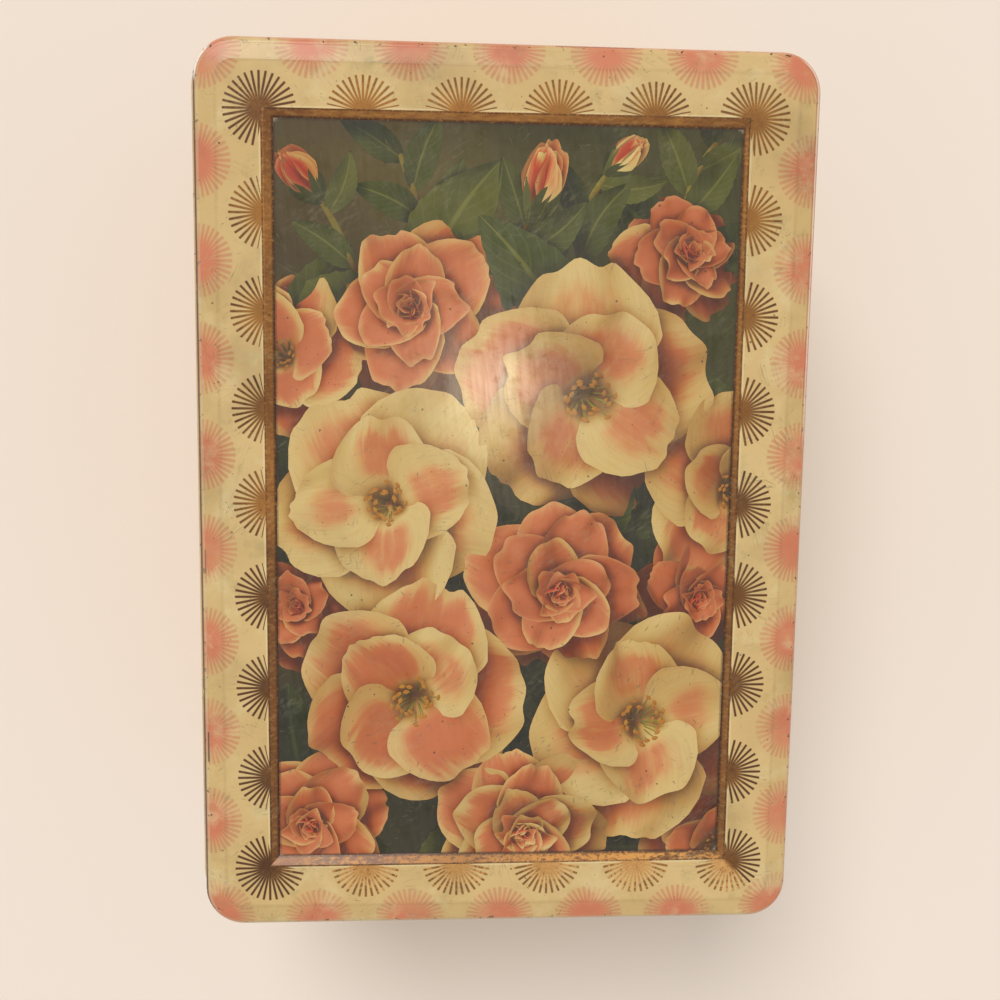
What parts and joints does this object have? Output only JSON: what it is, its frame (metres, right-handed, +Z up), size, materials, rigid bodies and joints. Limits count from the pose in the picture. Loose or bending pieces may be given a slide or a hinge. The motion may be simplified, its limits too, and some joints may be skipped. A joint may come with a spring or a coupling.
{
  "type": "recipe card box",
  "caption": "Deep rectangular sheet-metal box with rounded corners and a printed, sunken-panel lid hinged along a short edge, for standing recipe cards.",
  "frame": {"origin": "middle of the footprint, on the surface that the box stands on", "axes": "+Z up through the lid, +Y towards the hinge edge, -Y the edge that opens, +X to the right with the opening edge towards the viewer"},
  "size_m": [0.1698, 0.2458, 0.112],
  "materials": {
    "printed_tin": "varnished print on tinplate, worn at the edges",
    "lacquered_tin": "gold lacquer on tinplate, satin",
    "steel_wire": "dull tinned steel"
  },
  "bodies": {
    "box": {"body_wall": "printed_tin", "base_panel": "lacquered_tin", "hinge_wire": "steel_wire", "hinge_strap_left": "lacquered_tin", "hinge_strap_right": "lacquered_tin", "hinge_rivets": "steel_wire"},
    "lid": {"lid_shell": "printed_tin"}
  },
  "joints": [
    {"name": "lid_hinge", "type": "hinge", "parent": "box", "child": "lid", "pos_m": [0, 0.12155, 0.09735], "axis": [-1, 0, 0], "range_deg": [0, 110]}
  ]
}
